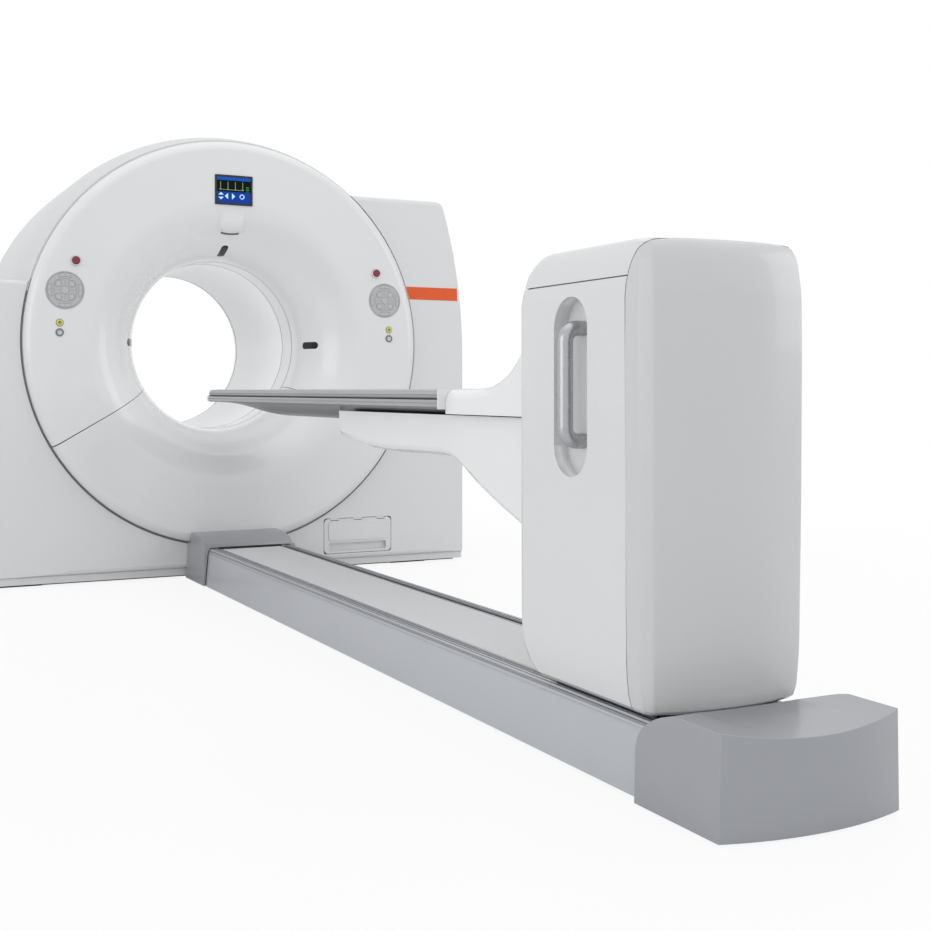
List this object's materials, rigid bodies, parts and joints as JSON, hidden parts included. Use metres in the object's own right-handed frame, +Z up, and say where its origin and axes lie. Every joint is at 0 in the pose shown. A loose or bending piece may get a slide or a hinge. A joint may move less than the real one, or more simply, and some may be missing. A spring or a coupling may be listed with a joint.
{
  "type": "pet-ct scanner",
  "caption": "Large-bore PET-CT scanner: ring gantry with funnelled tunnel, floor rail, travelling pedestal and a cantilevered lifting patient table.",
  "frame": {"origin": "on the floor, under the middle of the machine's length and of the gantry's width", "axes": "+Z up, +Y along the bore from the table's outer end to the gantry's rear, +X to the right seen from the table"},
  "size_m": [2.35, 5.055, 1.9969],
  "materials": {
    "cover_white": "satin white moulded cover",
    "frame_steel": "powder coated",
    "dark_plastic": "matt black",
    "bright_steel": "ground",
    "machined_alloy": "machined",
    "motor_grey": "satin",
    "slip_brass": "turned",
    "detector_blue": "satin",
    "detector_green": "satin",
    "bezel_silver": "satin",
    "screen": "glossy lit display",
    "pad_grey": "membrane foil",
    "lamp_yellow": "glossy",
    "ring_grey": "satin",
    "stop_red": "glossy",
    "trim_orange": "satin bare band",
    "rail_alloy": "satin painted profile",
    "band_pale": "finely ribbed",
    "cap_grey": "satin",
    "cap_dark": "satin",
    "grip_grey": "soft touch",
    "pallet_shell": "carbon fibre shell, lacquered",
    "mat_grey": "coated foam mat"
  },
  "bodies": {
    "gantry": {"gantry_base_frame": "frame_steel", "plinth": "dark_plastic", "ct_stand": "frame_steel", "main_bearing": "bright_steel", "drive_stator": "motor_grey", "brush_block": "dark_plastic", "pet_stand": "frame_steel", "pet_detector_ring": "detector_green", "front_cover_upper": "cover_white", "front_cover_lower": "cover_white", "bore_ring": "cover_white", "tunnel_liner": "cover_white", "rear_cover": "cover_white", "drum_cover": "cover_white", "front_panel_right": "cover_white", "front_panel_left": "cover_white", "side_cover_right": "cover_white", "side_cover_left": "cover_white", "rear_panels": "cover_white", "display_bezel": "bezel_silver", "display_screen": "screen", "control_pads": "pad_grey", "warning_lamps": "lamp_yellow", "status_rings": "ring_grey", "estop_collars": "ring_grey", "laser_windows": "dark_plastic", "intercom": "dark_plastic", "trim_band": "trim_orange", "hatch_hinge": "dark_plastic", "rail_base": "frame_steel", "guide_rails": "bright_steel", "side_rail_left": "rail_alloy", "side_rail_right": "rail_alloy", "cover_band": "band_pale", "end_cap_far": "cap_grey", "end_cap_near": "cap_dark", "rail_drive": "dark_plastic"},
    "rotor": {"rotor_drum": "machined_alloy", "xray_tube": "bright_steel", "hv_generator": "dark_plastic", "detector_arc": "detector_blue", "cooling_unit": "machined_alloy", "counterweights": "machined_alloy", "slip_ring": "slip_brass"},
    "carriage": {"carriage_frame": "frame_steel", "bearing_blocks": "bright_steel", "pedestal_column": "frame_steel", "pedestal_shell": "cover_white", "pedestal_rear_cover": "cover_white", "pedestal_top_cap": "cover_white", "grab_handle_left": "grip_grey", "grab_handle_right": "grip_grey"},
    "lift": {"arm_beam": "frame_steel", "lower_arm_cover": "cover_white", "upper_arm_cover": "cover_white", "pallet": "pallet_shell", "mattress": "mat_grey"},
    "hatch": {"access_hatch": "cover_white"},
    "stop_button_left": {"estop_left": "stop_red"},
    "stop_button_right": {"estop_right": "stop_red"}
  },
  "joints": [
    {"name": "table_travel", "type": "slide", "parent": "gantry", "child": "carriage", "axis": [0, 1, 0], "range_m": [0, 1.9]},
    {"name": "table_lift", "type": "slide", "parent": "carriage", "child": "lift", "axis": [0, 0, 1], "range_m": [-0.27, 0]},
    {"name": "ct_rotor", "type": "hinge", "parent": "gantry", "child": "rotor", "pos_m": [0, 1.7825, 1.04], "axis": [0, 1, 0], "continuous": true},
    {"name": "hatch_swing", "type": "hinge", "parent": "gantry", "child": "hatch", "pos_m": [0.616, 1.2165, 0.2265], "axis": [-1, 0, 0], "range_deg": [0, 90]},
    {"name": "stop_push_left", "type": "slide", "parent": "gantry", "child": "stop_button_left", "axis": [0, 1, 0], "range_m": [0, 0.004], "stiffness_N_per_m": 4000},
    {"name": "stop_push_right", "type": "slide", "parent": "gantry", "child": "stop_button_right", "axis": [0, 1, 0], "range_m": [0, 0.004], "stiffness_N_per_m": 4000}
  ]
}
